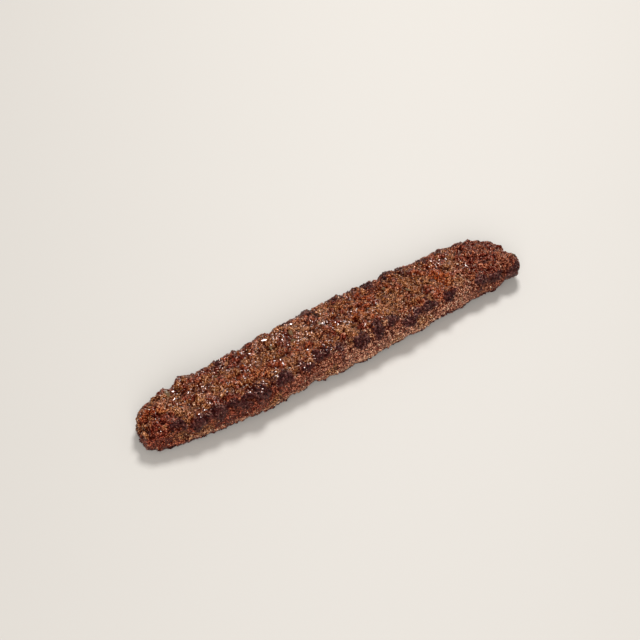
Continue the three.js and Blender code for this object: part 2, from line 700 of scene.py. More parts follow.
@dataclass(frozen=True)
class ScorchingAndFootShade:
    """Char off the knobs: in a band between them, underneath, at the end and in patches, and a painted shadow
    in the char colour around the foot.
    """

    band: float = 154.0
    band_width: float = 10.0
    band_char: float = 0.22
    band_between_patches: float = 0.5
    band_patches: Clouds = Clouds(33, -0.2)
    underneath: Range = (0.1, 0.5)
    under_patches: Clouds = Clouds(37, 0.15)
    # A painted contact shadow: char colour in a band around the foot of the bar.
    foot: Range = (2.3, 3.25)
    foot_shade: float = 0.6
    patch_char: float = 0.4
    patches: Clouds = Clouds(57, 0.4)
    end: Range = (76.0, 90.0)
    end_char: float = 0.22

    def at(self, layout: Layout) -> np.ndarray:
        """How scorched some points are, the painted shadow around the foot counted in as char.

        Args:
            layout: The points with their places.

        Returns:
            One share for each point.
        """
        points = layout.points
        band = self.band_char * np.exp(-(((layout.around - self.band) / self.band_width) ** 2))
        band = band * (self.band_between_patches + self.band_patches.at(points))
        under = self.under_patches.at(points) * eased(-layout.upwards(), *self.underneath)
        # Painted contact shadow around the foot.
        foot = self.foot_shade * (1 - eased(layout.above, *self.foot))
        patches = self.patch_char * self.patches.at(points)
        patches = patches + self.end_char * eased(layout.along, *self.end)
        return np.max([band, under, foot, patches], axis=0)


@dataclass(frozen=True)
class Grilling:
    """What fingers and coals did to the bar: where it stands out, is scorched, and how it is coloured, with
    painted shade on the walls and along the foot.

    As in a Spot, places along the bar are in millimetres and places around it in degrees.
    """

    front_knobs: tuple[Knob, ...] = (
        Knob(-95.5, 148, 3.4, 11, 0.7, 0.9),
        Knob(-86, 157, 5, 11, 1.8, 1.15),
        Knob(-76, 154, 4.8, 12, 2.0, 1.3),
        Knob(-68, 150, 3, 8, 1.1, 0.8),
        Knob(-62, 156, 4, 11, 1.6, 1.2),
        Knob(-53, 155, 5.2, 12, 2.0, 1.25),
        Knob(-39.5, 153, 4.8, 12, 1.9, 1.25),
        Knob(-25, 153, 4, 9, 1.4, 0.95),
        Knob(-16, 144, 4.8, 11, 1.9, 1.15),
        Knob(-6, 149, 3.5, 7, 0.7, 0.5),
        Knob(5.5, 154, 4.6, 11, 2.2, 1.1),
        Knob(17, 150, 4.4, 14, 1.6, 0.85),
        Knob(26, 148, 3.6, 8, 2.2, 1.15),
        Knob(34, 156, 4, 9, 1.8, 0.9),
        Knob(40, 155, 3.6, 8, 1.8, 0.95),
        Knob(48, 153, 4.6, 10, 2.0, 1.1),
        Knob(63, 151, 6, 8, 1.4, 0.65),
        Knob(83, 158, 4.5, 10, 1.4, 0.8),
        Knob(92, 160, 4.5, 11, 1.4, 1.0),
        Knob(104.5, 172, 5, 20, 1.4, 1.0),
    )
    far_knobs: tuple[Knob, ...] = (
        Knob(-92.5, 30, 3.5, 20, 0.9, 0.3),
        Knob(-81.5, 30, 4.8, 20, 2.1, 0.4),
        Knob(-70, 30, 3.5, 20, 0.9, 0.5),
        Knob(-59.5, 30, 3, 20, 0.5, 0.7),
        Knob(-51, 30, 3.2, 20, 1.6, 0.7),
        Knob(-41, 30, 3, 18, 0.8, 0.4),
        Knob(-33.5, 30, 5, 20, 2.0, 0.3),
        Knob(-26.5, 30, 2.5, 18, -0.7),
        Knob(-19, 30, 3.5, 18, 1.5, 0.8),
        Knob(-6, 30, 7, 20, 1.2, 0.5),
        Knob(11.5, 30, 4.5, 20, 1.6, 0.6),
        Knob(23, 30, 3, 18, 0.6, 0.4),
        Knob(28, 30, 2.5, 18, -0.7),
        Knob(31, 30, 4, 18, 0.8, 0.7),
        Knob(37, 30, 2.5, 18, -0.8),
        Knob(43.5, 30, 5, 20, 1.3, 0.6),
        Knob(52.5, 30, 3, 18, 1.1, 0.6),
        Knob(59.5, 30, 3.5, 18, -1.1),
        Knob(66, 30, 3, 18, 0.9, 0.7),
        Knob(71.5, 30, 2.5, 18, -0.6),
        Knob(76, 30, 5, 18, 1.0, 0.5),
    )
    dents: tuple[Knob, ...] = (
        Knob(-93, 186, 2.6, 14, -2.4),
        Knob(-54, 192, 2, 12, -0.7),
        Knob(-36.5, 192, 2, 12, -0.7),
        Knob(-24, 186, 4.5, 14, -1.9),
        Knob(57.5, 186, 4, 14, -1.0),
        Knob(102, 195, 6, 20, -1.2),
        Knob(98, 30, 5, 40, -0.8),
        Knob(-113, 75, 6, 90, -2.0),
        Knob(109, 112, 4, 26, -1.4),
        Knob(-86.5, 38, 3, 26, -1.2),
        Knob(-64, 38, 3, 26, -0.9),
        Knob(-45.5, 38, 2.5, 30, -0.9),
        Knob(-22, 60, 3.5, 26, -0.9),
        Knob(-90.5, 152, 2, 12, -0.7),
        Knob(-80, 150, 2, 12, -0.8),
        Knob(-69, 152, 2, 12, -0.8),
        Knob(-58, 152, 2, 12, -0.6),
        Knob(-46, 152, 2.5, 14, -0.9),
        Knob(-32, 150, 3, 14, -0.9),
        Knob(-1, 152, 3, 14, -0.8),
        Knob(11.5, 152, 2.2, 14, -0.8),
        Knob(22, 152, 1.8, 12, -0.7),
        Knob(43, 150, 1.8, 12, -0.7),
        Knob(56, 150, 3, 14, -0.8),
        Knob(73, 152, 4, 14, -0.9),
        Knob(87.5, 154, 1.8, 12, -0.5),
        Knob(98, 158, 2.5, 14, -0.7),
    )
    bulges: tuple[Knob, ...] = (
        Knob(-49, 190, 6, 14, 0.6),
        Knob(-12.5, 190, 2.5, 12, 1.0),
        Knob(-4, 190, 5, 14, 0.3),
        Knob(8, 190, 7, 14, 0.7),
        Knob(43, 190, 5, 14, 0.9),
        Knob(70, 190, 5, 14, 0.9),
        Knob(90, 190, 4, 14, 1.4),
    )
    top_knobs: tuple[Knob, ...] = (
        Knob(-106, 130, 3, 22, 0.6),
        Knob(-97, 63, 2.6, 16, 0.6),
        Knob(-96, 112, 2.2, 10, 0.4),
        Knob(-90.5, 104, 1.8, 8, 0.4),
        Knob(-85.5, 82, 2.4, 12, 0.6),
        Knob(-79, 62, 2.4, 12, 0.4),
        Knob(-77, 128, 2.4, 9, 0.5),
        Knob(-71, 56, 2.6, 12, 0.6),
        Knob(-66.5, 106, 2.2, 9, 0.5),
        Knob(-64, 84, 2, 9, 0.5),
        Knob(-58.5, 84, 2.6, 14, 0.6),
        Knob(-52, 132, 2.4, 8, 0.5),
        Knob(-49, 105, 2.8, 13, 0.7),
        Knob(-46.5, 76, 2, 9, 0.5),
        Knob(-40, 130, 2.2, 7, 0.4),
        Knob(-37, 53, 2.8, 10, 0.6),
        Knob(-27.5, 115, 3, 15, 0.6),
        Knob(-26, 56, 2.2, 10, 0.5),
        Knob(-17, 112, 2.2, 9, 0.4),
        Knob(-9.5, 62, 2.6, 14, 0.6),
        Knob(-8, 128, 2.4, 8, 0.5),
        Knob(1, 70, 2.4, 18, 0.6),
        Knob(8, 60, 2.6, 10, 0.5),
        Knob(8.5, 96, 2, 9, 0.5),
        Knob(12, 116, 2.4, 11, 0.5),
        Knob(18.5, 64, 3.2, 12, 0.6),
        Knob(18, 119, 3, 8, 0.6),
        Knob(25.5, 86, 2.2, 8, 0.5),
        Knob(29, 110, 2.8, 10, 0.6),
        Knob(36.5, 125, 2.2, 7, 0.4),
        Knob(42.5, 67, 2.4, 13, 0.7),
        Knob(50.5, 113, 3, 15, 0.7),
        Knob(53, 44, 2.4, 10, 0.5),
        Knob(60, 112, 2, 9, 0.5),
        Knob(65, 142, 3.2, 5, 0.5),
        Knob(69.5, 98, 2, 8, 0.5),
        Knob(71, 53, 2.4, 10, 0.6),
        Knob(78, 93, 3, 11, 0.6),
        Knob(83, 124, 3.4, 14, 0.5),
        Knob(88.5, 58, 2.2, 9, 0.5),
        Knob(94, 104, 3.2, 13, 0.6),
        Knob(100, 70, 2.6, 13, 0.5),
    )
    blotches: tuple[Blotch, ...] = (
        Blotch(-97.5, 76, 4, 24, Mark.ORANGE, 0.9),
        Blotch(-94, 62, 4, 20, Mark.TAN, 0.4),
        Blotch(-89.5, 64, 2, 16, Mark.OLIVE, 1.0),
        Blotch(-86, 126, 4, 14, Mark.TAN, 0.35),
        Blotch(-75, 92, 4, 12, Mark.TAN, 0.4),
        Blotch(-62, 110, 5, 16, Mark.ORANGE, 0.6),
        Blotch(-33, 68, 3.5, 22, Mark.OLIVE, 1.0),
        Blotch(-16, 66, 5.5, 30, Mark.TAN, 0.3),
        Blotch(-12, 76, 5.5, 40, Mark.OLIVE, 0.8),
        Blotch(-20.5, 92, 2.5, 10, Mark.OLIVE, 1.0),
        Blotch(-4, 74, 3, 12, Mark.OLIVE, 0.8),
        Blotch(14, 100, 5, 20, Mark.ORANGE, 0.9),
        Blotch(22, 66, 5.5, 18, Mark.ORANGE, 0.8),
        Blotch(35.5, 96, 7, 46, Mark.OLIVE, 0.95),
        Blotch(64.5, 104, 4.5, 40, Mark.ORANGE, 1.0),
        Blotch(55, 80, 5, 24, Mark.OLIVE, 0.8),
        Blotch(48, 110, 4, 16, Mark.OLIVE, 0.6),
        Blotch(7.5, 92, 2.5, 14, Mark.OLIVE, 0.9),
        Blotch(-50, 120, 6, 14, Mark.ORANGE, 0.7),
        Blotch(-37.5, 118, 3.5, 16, Mark.ORANGE, 0.6),
        Blotch(-80, 78, 5, 10, Mark.OLIVE, 0.6),
        Blotch(-104, 62, 4, 16, Mark.ORANGE, 0.8),
        Blotch(105, 110, 5, 20, Mark.OLIVE, 0.3),
        Blotch(75.5, 134, 3, 18, Mark.TAN, 0.45),
    )
    lumps: Relief = Relief(6.5 * MM, 23, height=0.6 * MM)
    mounds: Mounds = Mounds()
    walls: Walls = Walls()
    pale_foot_line: PaleFootLine = PaleFootLine()
    scorching_and_foot_shade: ScorchingAndFootShade = ScorchingAndFootShade()
    front_char: float = 1.4

    # Browned meat and pale patches on the top, with fewer patches on the knobs and at the end
    top: Range = (0.2, 0.7)
    side_browning: float = 0.4
    olive: float = 0.85
    olive_patches: Clouds = Clouds(61, 0.25)
    orange: float = 0.6
    orange_patches: Clouds = Clouds(63, 0.2)
    fewer_on_knobs: float = 0.45
    fewer_at_end: float = 0.8
    end: Range = (74.0, 88.0)

    # Oil, most of it on browned meat and before the middle
    oil_patches: Clouds = Clouds(71, -0.1)
    unbrowned_oil: float = 0.5
    dry_oil: float = 0.35
    dry_past: Range = (-15.0, 35.0)

    def swell(self, points: np.ndarray) -> np.ndarray:
        """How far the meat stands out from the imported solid.

        Args:
            points: One row of coordinates for each point.

        Returns:
            One distance for each point.
        """
        layout = Layout.of_points(points)
        knobs = (*self.front_knobs, *self.far_knobs, *self.top_knobs, *self.dents, *self.bulges)
        rise = sum(knob.rise * knob.felt_at(layout) for knob in knobs)
        return rise * MM + self.lumps.at(points) + self.mounds.rise(layout)

    def marks(self, points: np.ndarray) -> dict[Mark, np.ndarray]:
        """What the grilling left at some points, with painted shade on the walls and along the foot.

        Args:
            points: One row of coordinates for each point.

        Returns:
            For each mark, one share from 0 to 1 for each point.
        """
        layout = Layout.of_points(points)
        top = eased(layout.upwards(), *self.top)
        on_knobs = np.max([knob.felt_at(layout) for knob in self.top_knobs], axis=0)
        pale_mound, browned_mound = self.mounds.coloured(layout)
        pale_wall, shaded_wall = self.walls.coloured(layout)
        before_end = 1 - self.fewer_at_end * eased(layout.along, *self.end)
        off_knobs = 1 - self.fewer_on_knobs * on_knobs
        olive = np.maximum(self.olive_patches.at(points), pale_mound * top) * before_end
        orange = self.orange * top * before_end * self.orange_patches.at(points)
        # Browned meat on the knobs and mounds, and the painted shade on the walls in the browned colour.
        browned = np.max([on_knobs, browned_mound * lifted(top, self.side_browning), shaded_wall], axis=0)
        oil = self.oil_patches.at(points) * top
        oil = oil * lifted(1 - eased(layout.along, *self.dry_past), self.dry_oil)
        return {
            Mark.CHAR_AND_SHADE: self._char_and_shade(layout),
            Mark.OLIVE: np.maximum(self._blotched(Mark.OLIVE, layout), self.olive * olive) * off_knobs,
            Mark.TAN: np.maximum(self._blotched(Mark.TAN, layout), self.pale_foot_line.at(layout)),
            Mark.ORANGE: np.maximum(self._blotched(Mark.ORANGE, layout), orange) * off_knobs,
            Mark.WALL: pale_wall,
            Mark.BROWNED_AND_SHADE: browned,
            Mark.OIL: oil * lifted(browned, self.unbrowned_oil),
        }

    def _blotched(self, hue: Mark, layout: Layout) -> np.ndarray:
        """How much of one colour's blotches each point has."""
        return np.max([b.strength * b.felt_at(layout) for b in self.blotches if b.hue is hue], axis=0)

    def _char_and_shade(self, layout: Layout) -> np.ndarray:
        """How scorched some points are, on the knobs and off them, with the painted shadow around the foot.

        Args:
            layout: The points with their places.

        Returns:
            One share for each point.
        """
        char = [self.front_char * knob.char * knob.felt_at(layout) for knob in self.front_knobs]
        char += [knob.char * knob.felt_at(layout) for knob in self.far_knobs]
        return np.max([*char, self.scorching_and_foot_shade.at(layout)], axis=0)


class Bench:
    """A material's node tree, with short ways to add nodes and join them."""

    def __init__(self, name: str) -> None:
        """Makes a material that holds one Principled shader.

        Args:
            name: The material's name.
        """
        self.material = bpy.data.materials.new(name)
        self.material.use_nodes = True
        self.tree = self.material.node_tree
        self.shader = next(n for n in self.tree.nodes if n.type == "BSDF_PRINCIPLED")
        self.spot = self.add("ShaderNodeTexCoord").outputs["Object"]

    def add(self, kind: str, **settings: object) -> bpy.types.Node:
        """Adds a node.

        Args:
            kind: The node's type name.
            **settings: Properties of the node itself.

        Returns:
            The node.
        """
        node = self.tree.nodes.new(kind)
        for setting, value in settings.items():
            setattr(node, setting, value)
        return node

    def feed(self, socket: Socket, source: object) -> None:
        """Joins a source to a socket, or sets the socket if the source is a plain value.

        Args:
            socket: The input socket.
            source: An output socket, a number or a colour.
        """
        if isinstance(source, Socket):
            self.tree.links.new(source, socket)
        else:
            socket.default_value = source

    def set(self, **values: object) -> None:
        """Sets or joins the shader's own inputs, named with _ for the blanks in their names."""
        for name, value in values.items():
            self.feed(self.shader.inputs[name.replace("_", " ")], value)

    def mark(self, mark: Mark) -> Socket:
        """A number stored at the mesh's points."""
        return self.add("ShaderNodeAttribute", attribute_name=mark.value).outputs["Fac"]

    def noise(self, size: float, detail: float = 2.0, shift: float = 0.0) -> Socket:
        """Cloudy noise, from 0 to 1.

        Args:
            size: About how far apart its blotches are, in metres.
            detail: How many finer layers it has.
            shift: Sets it apart from another noise of the same size.

        Returns:
            The noise's output.
        """
        node = self.add("ShaderNodeTexNoise", noise_dimensions="4D")
        self.feed(node.inputs["Vector"], self.spot)
        node.inputs["W"].default_value = shift
        node.inputs["Scale"].default_value = 1 / size
        node.inputs["Detail"].default_value = detail
        return node.outputs["Fac"]

    def ramp(self, source: Socket, stops: Sequence[tuple[float, Colour]]) -> Socket:
        """Turns a number into a colour.

        Args:
            source: The number.
            stops: Places from 0 to 1, each with its colour.

        Returns:
            The colour's output.
        """
        node = self.add("ShaderNodeValToRGB")
        elements = node.color_ramp.elements
        while len(elements) < len(stops):
            elements.new(0.5)
        for element, (place, colour) in zip(elements, stops):
            element.position = place
            element.color = colour
        self.feed(node.inputs["Fac"], source)
        return node.outputs["Color"]

    def step(self, source: Socket, values: Range, gives: Range = (0.0, 1.0)) -> Socket:
        """A smooth step in a number.

        Args:
            source: The number.
            values: Where the step starts and ends.
            gives: What it gives before and after.

        Returns:
            The step's output.
        """
        node = self.add("ShaderNodeMapRange", interpolation_type="SMOOTHSTEP")
        self.feed(node.inputs["Value"], source)
        for socket, value in zip(("From Min", "From Max", "To Min", "To Max"), (*values, *gives)):
            node.inputs[socket].default_value = value
        return node.outputs["Result"]

    def math(self, operation: str, *sources: object) -> Socket:
        """Arithmetic on numbers.

        Args:
            operation: The operation's name, such as ADD.
            *sources: Sockets or numbers.

        Returns:
            The result's output.
        """
        node = self.add("ShaderNodeMath", operation=operation)
        for socket, source in zip(node.inputs, sources):
            self.feed(socket, source)
        return node.outputs["Value"]

    def scaled(self, source: Socket, gain: float, offset: object) -> Socket:
        """A number times a gain, plus a socket or a number."""
        return self.math("MULTIPLY_ADD", source, gain, offset)

    def patches(self, size: float, shift: float, edge: Range, gives: Range = (0.0, 1.0)) -> Socket:
        """Cloudy patches with soft edges, as a number outside them and another inside."""
        return self.step(self.noise(size, shift=shift), edge, gives)

    def blend(self, share: object, under: object, over: object) -> Socket:
        """Lays one colour over another.

        Args:
            share: How much of the upper colour shows, from 0 to 1.
            under: The lower colour.
            over: The upper colour.

        Returns:
            The colour's output.
        """
        node = self.add("ShaderNodeMix", data_type="RGBA")
        factor = next(s for s in node.inputs if s.identifier == "Factor_Float")
        lower, upper = (s for s in node.inputs if s.identifier in ("A_Color", "B_Color"))
        self.feed(factor, share)
        self.feed(lower, under)
        self.feed(upper, over)
        return next(s for s in node.outputs if s.identifier == "Result_Color")

    def bump(self, height: Socket, depth: float) -> Socket:
        """Fine relief from a height.

        Args:
            height: The height, from 0 to 1.
            depth: How high 1 stands, in metres.

        Returns:
            The normal's output.
        """
        node = self.add("ShaderNodeBump")
        node.inputs["Distance"].default_value = depth
        self.feed(node.inputs["Height"], height)
        return node.outputs["Normal"]


class Finish(Protocol):
    """Anything that can make a material."""

    def material(self) -> bpy.types.Material:
        """The material with its nodes."""


@dataclass(frozen=True)
class Shades:
    """One colour in its dark, middle and light shade."""

    dark: Colour
    middle: Colour
    light: Colour

    def at(self, bench: Bench, shade: Socket) -> Socket:
        """The colour at a shade from 0, dark, to 1, light."""
        return bench.ramp(shade, [(0.23, self.dark), (0.52, self.middle), (0.84, self.light)])


@dataclass(frozen=True)
class CharFinish:
    """Scorched crust: matt purple-brown to black, with paler burnt specks."""

    name: str = "scorched crust"
    black: Colour = tone(19, 6, 7)
    dark: Colour = tone(48, 17, 18)
    pale: Colour = tone(80, 40, 38)
    ash: Colour = tone(146, 100, 88)

    def material(self) -> bpy.types.Material:
        """Mixes the crust from its shades, with painted shade in black on each grain's lower part, and a
        rough fine grain.

        Returns:
            The material.
        """
        bench = Bench(self.name)
        tint = bench.scaled(bench.mark(Mark.TINT), gain=0.7, offset=-0.05)
        grain = bench.scaled(bench.noise(0.9 * MM, detail=3, shift=3.0), gain=0.6, offset=tint)
        bench.set(
            # Painted shade: black on each grain's lower part.
            Base_Color=bench.blend(bench.mark(Mark.HOLLOW_SHADE), self.crust(bench, grain), self.black),
            Roughness=bench.patches(0.8 * MM, shift=1.0, edge=(0.35, 0.65), gives=(0.3, 0.5)),
            Specular_IOR_Level=0.12,
            Normal=bench.bump(bench.noise(0.9 * MM, detail=1, shift=8.0), depth=0.4 * MM),
        )
        return bench.material

    def crust(self, bench: Bench, grain: Socket) -> Socket:
        """Colour of the crust at a shade from 0 to 1."""
        return bench.ramp(grain, [(0.25, self.black), (0.48, self.dark), (0.72, self.pale), (0.94, self.ash)])


@dataclass(frozen=True)
class MinceFinish:
    """Grilled mince: red-brown with olive, tan and orange patches, painted shade in the crevices, char crust
    that also paints the shadow along the foot, and a film of oil.
    """

    name: str = "grilled mince"
    lean: Shades = Shades(tone(60, 4, 1), tone(131, 44, 16), tone(208, 132, 98))
    wall: Shades = Shades(tone(72, 15, 7), tone(182, 108, 80), tone(255, 202, 168))
    olive: Shades = Shades(tone(68, 19, 3), tone(141, 85, 34), tone(210, 156, 106))
    orange: Shades = Shades(tone(82, 9, 1), tone(161, 56, 12), tone(214, 130, 74))
    fatty: Shades = Shades(tone(96, 48, 28), tone(172, 116, 84), tone(226, 180, 148))
    # Also the colour of the painted shade on the walls.
    browned: Shades = Shades(tone(42, 4, 2), tone(98, 17, 9), tone(164, 84, 62))
    # Colour of the painted shade in the crevices.
    crevice_shade: Colour = tone(46, 6, 3)
    gleam: Colour = tone(255, 194, 164)
    film: Colour = tone(255, 240, 226)
    char: CharFinish = CharFinish()
    crust_edge: Range = (0.25, 0.65)
    least_patchy: float = 0.75

    def material(self) -> bpy.types.Material:
        """Lays the scorched crust over the meat and over the painted shadow along the foot, paints shade into
        the crevices and adds the shine.

        Returns:
            The material.
        """
        bench = Bench(self.name)
        speckle = bench.scaled(bench.noise(1.0 * MM, detail=3, shift=3.0), gain=2.0, offset=-0.5)
        crust = self.char.crust(bench, speckle)
        meat = bench.blend(self._scorched_and_shaded(bench), self._meat(bench), crust)
        # Painted shade: the crevice colour where the hollow mark is high.
        bench.set(Base_Color=bench.blend(bench.mark(Mark.HOLLOW_SHADE), meat, self.crevice_shade))
        self._shine(bench)
        return bench.material

    def _scorched_and_shaded(self, bench: Bench) -> Socket:
        """How scorched each spot is, from 0 to 1, the painted shadow along the foot included, broken up by
        the grain.
        """
        ragged = bench.scaled(bench.noise(1.2 * MM, shift=4.0), gain=0.8, offset=-0.4)
        return bench.step(bench.math("ADD", bench.mark(Mark.CHAR_AND_SHADE), ragged), self.crust_edge)

    def _meat(self, bench: Bench) -> Socket:
        """Colour of the meat that isn't scorched.

        Args:
            bench: The material's nodes.

        Returns:
            The colour.
        """
        mottle = bench.scaled(bench.noise(0.5 * MM, detail=1), gain=4.2, offset=-2.1)
        shade = bench.scaled(bench.mark(Mark.TINT), gain=0.7, offset=mottle)
        colour = self.lean.at(bench, shade)
        for mark, over, most in (
            (Mark.WALL, self.wall, 0.9),
            (Mark.BROWNED_AND_SHADE, self.browned, 1.0),
            (Mark.OLIVE, self.olive, 0.9),
            (Mark.ORANGE, self.orange, 0.9),
            (Mark.TAN, self.fatty, 0.8),
        ):
            least = self.least_patchy * most
            patchy = bench.patches(1.6 * MM, shift=5.0, edge=(0.35, 0.6), gives=(least, most))
            share = bench.math("MULTIPLY", bench.mark(mark), patchy)
            colour = bench.blend(share, colour, over.at(bench, shade))
        return colour

    def _shine(self, bench: Bench) -> None:
        """Sets roughness, the film of oil and the grain that is too fine for the mesh.

        Args:
            bench: The material's nodes.
        """
        film = bench.patches(1.8 * MM, shift=6.0, edge=(0.54, 0.64))
        wet = bench.math("MULTIPLY", bench.mark(Mark.OIL), film)
        dry = bench.patches(1.5 * MM, shift=1.0, edge=(0.4, 0.6), gives=(0.11, 0.32))
        bench.set(
            Roughness=bench.scaled(wet, gain=-0.1, offset=dry),
            Specular_IOR_Level=0.5,
            Specular_Tint=self.gleam,
            Coat_Weight=wet,
            Coat_Roughness=0.18,
            Coat_IOR=1.55,
            Coat_Tint=self.film,
            Subsurface_Weight=0.04,
            Subsurface_Radius=(1.0, 0.3, 0.15),
            Subsurface_Scale=1.0 * MM,
            Normal=bench.bump(bench.noise(0.9 * MM, detail=1, shift=8.0), depth=0.6 * MM),
        )


@dataclass(frozen=True)
class FatFinish:
    """Rendered fat and gristle: tan to cream, a little see-through and moist."""

    name: str = "rendered fat"
    brown: Colour = tone(132, 76, 50)
    tan: Colour = tone(188, 134, 102)
    cream: Colour = tone(240, 200, 168)
    # Colour of the painted shade on each grain's lower part.
    crevice_shade: Colour = tone(60, 16, 7)

    def material(self) -> bpy.types.Material:
        """Shades the fat from brown to cream, paints shade on each grain's lower part and lets a little light
        into it.

        Returns:
            The material.
        """
        bench = Bench(self.name)
        shade = bench.scaled(bench.noise(1.0 * MM, shift=2.0), gain=0.5, offset=bench.mark(Mark.TINT))
        colour = bench.ramp(shade, [(0.2, self.brown), (0.7, self.tan), (1.0, self.cream)])
        bench.set(
            Base_Color=bench.blend(bench.mark(Mark.HOLLOW_SHADE), colour, self.crevice_shade),
            Roughness=bench.patches(0.7 * MM, shift=1.0, edge=(0.35, 0.65), gives=(0.3, 0.55)),
            Specular_IOR_Level=0.12,
            Subsurface_Weight=0.12,
            Subsurface_Radius=(1.0, 0.5, 0.25),
            Subsurface_Scale=0.8 * MM,
            Normal=bench.bump(bench.noise(0.5 * MM, shift=8.0), depth=0.15 * MM),
        )
        return bench.material


@dataclass(frozen=True)
class JuiceFinish:
    """Cooked meat juice and oil: dark red-brown and glossy as syrup."""

    name: str = "meat juice"
    dark: Colour = tone(74, 22, 8)
    amber: Colour = tone(150, 76, 34)

    def material(self) -> bpy.types.Material:
        """Mixes the juice from dark and amber and gives it a glossy coat.

        Returns:
            The material.
        """
        bench = Bench(self.name)
        bench.set(
            Base_Color=bench.ramp(bench.noise(1.4 * MM), [(0.35, self.dark), (0.7, self.amber)]),
            Roughness=bench.patches(1.2 * MM, shift=2.0, edge=(0.3, 0.7), gives=(0.06, 0.2)),
            Specular_IOR_Level=0.6,
            Coat_Weight=1.0,
            Coat_Roughness=0.06,
            Subsurface_Weight=0.1,
            Subsurface_Radius=(1.0, 0.3, 0.15),
            Subsurface_Scale=0.8 * MM,
        )
        return bench.material


@dataclass
class MinceBar:
    """The bar itself: a core with its knobs, and pellets of mince pressed all over it and fused to it.

    Its skin is there once it is built.
    """

    grilling: Grilling
    name: str = "mince_bar"
    weld: float = 0.001 * MM
    core_inset: float = 0.12 * MM
    pellet_gap: float = 1.05 * MM
    pellet_radius: Range = (0.6 * MM, 1.15 * MM)
    pellet_sunk: Range = (0.2, 0.95)
    pellet_tint: Range = (0.28, 0.66)
    pellet_tilt: float = 0.35
    pellet_proportions: Proportions = ((1.0, 1.6), (0.8, 1.05), (0.75, 1.0))
    pellet_moulds: Moulds = Moulds(detail=2, roughness=0.22, first_seed=20, count=10)
    candidates: int = 70000
    voxel: float = 0.32 * MM
    most_faces: int = 196000
    grain: Relief = Relief(0.9 * MM, 3, height=0.18 * MM)
    # Hollow depths over which the painted crevice shade sets in.
    crevice_shade: Range = (0.005 * MM, 0.1 * MM)
    crevice_rounds: int = 4
    seed: int = 5
    finish: Finish = MinceFinish()
    skin: Skin = field(init=False)

    def build(self) -> Piece:
        """Builds the bar's mesh, marks its points and dresses it.

        Returns:
            The bar.
        """
        rng = np.random.default_rng(self.seed)
        packed = Shell.of_object(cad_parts[CAD_NODE])
        solid = packed.worked("WELD", merge_threshold=self.weld).worked("SUBSURF", levels=1)
        solid = solid.moved(self.grilling.swell(solid.points))
        pellets = Skin(solid).scatter(self.candidates, rng).spaced(self.pellet_gap)
        core = solid.moved(-self.core_inset)
        shell = self._grained(self._fused(Shell.joined([core, self._pressed(pellets, rng)])))
        self.skin = Skin(shell)
        piece = shell.object(self.name)
        self._mark(piece, shell, pellets, rng)
        piece.data.materials.append(self.finish.material())
        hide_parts(CAD_NODE)
        return piece

    def _pressed(self, pellets: Places, rng: Chance) -> Shell:
        """The pellets as lumps pressed part way into the core.

        Args:
            pellets: Their places on the core's skin.
            rng: The source of chance.

        Returns:
            The lumps.
        """
        count = len(pellets.points)
        sizes = drawn_sizes(self.pellet_radius, self.pellet_proportions, count, rng)
        middles = pellets.sunk(sizes[:, 2] * rng.uniform(*self.pellet_sunk, count))
        return Heap.pressed_on(middles, sizes, self.pellet_moulds.shells(), rng, self.pellet_tilt).shell

    def _fused(self, heap: Shell) -> Shell:
        """Fuses overlapping shells into one skin, thinned to the number of faces allowed."""
        fused = heap.worked("REMESH", mode="VOXEL", voxel_size=self.voxel)
        return fused.worked("DECIMATE", ratio=min(1, self.most_faces / len(fused.faces)))

    def _grained(self, shell: Shell) -> Shell:
        """Adds the fine grain and presses the underside flat on the table.

        Args:
            shell: The fused skin.

        Returns:
            The skin with its grain.
        """
        grained = shell.moved(self.grain.at(shell.points))
        grained.points[:, 2] = np.maximum(grained.points[:, 2], 0)
        return grained

    def _mark(self, piece: Piece, shell: Shell, pellets: Places, rng: Chance) -> None:
        """Stores what the grilling left, the tint of the nearest pellet, and how hollow each point is, which
        sets the painted shade in its crevices.

        Args:
            piece: The bar.
            shell: Its points and triangles.
            pellets: The pellets' places.
            rng: The source of chance.
        """
        for mark, values in self.grilling.marks(shell.points).items():
            mark.store(piece, values)
        tree = KDTree(len(pellets.points))
        for index, point in enumerate(pellets.points):
            tree.insert(point, index)
        tree.balance()
        nearest = np.array([tree.find(point)[1] for point in shell.points])
        Mark.TINT.store(piece, rng.uniform(*self.pellet_tint, len(pellets.points))[nearest])
        # Painted shade in the crevices, from how far each point lies below its neighbours.
        near = shell.averaged(shell.points, self.crevice_rounds)
        hollow = ((near - shell.points) * shell.normals()).sum(1)
        Mark.HOLLOW_SHADE.store(piece, eased(hollow, *self.crevice_shade))


CRUMB_MOULDS = Moulds(detail=0, roughness=0.35, first_seed=50, count=12)
PALE_MINCE = MinceFinish(
    name="mince crumbs",
    lean=Shades(tone(72, 9, 4), tone(132, 56, 28), tone(212, 148, 116)),
    browned=Shades(tone(50, 5, 2), tone(98, 20, 10), tone(176, 98, 74)),
    # Colour of the painted shade on the crumbs' lower parts.
    crevice_shade=tone(62, 12, 6),
)


class Meat(Enum):
    """What a grain is made of."""

    LEAN = "lean_grains"
    FAT = "fat_grains"
    # Char grains, some of which paint the shadow along the foot.
    CHAR_AND_SHADE = "char_grains"
    CRUMB = "mince_crumbs"


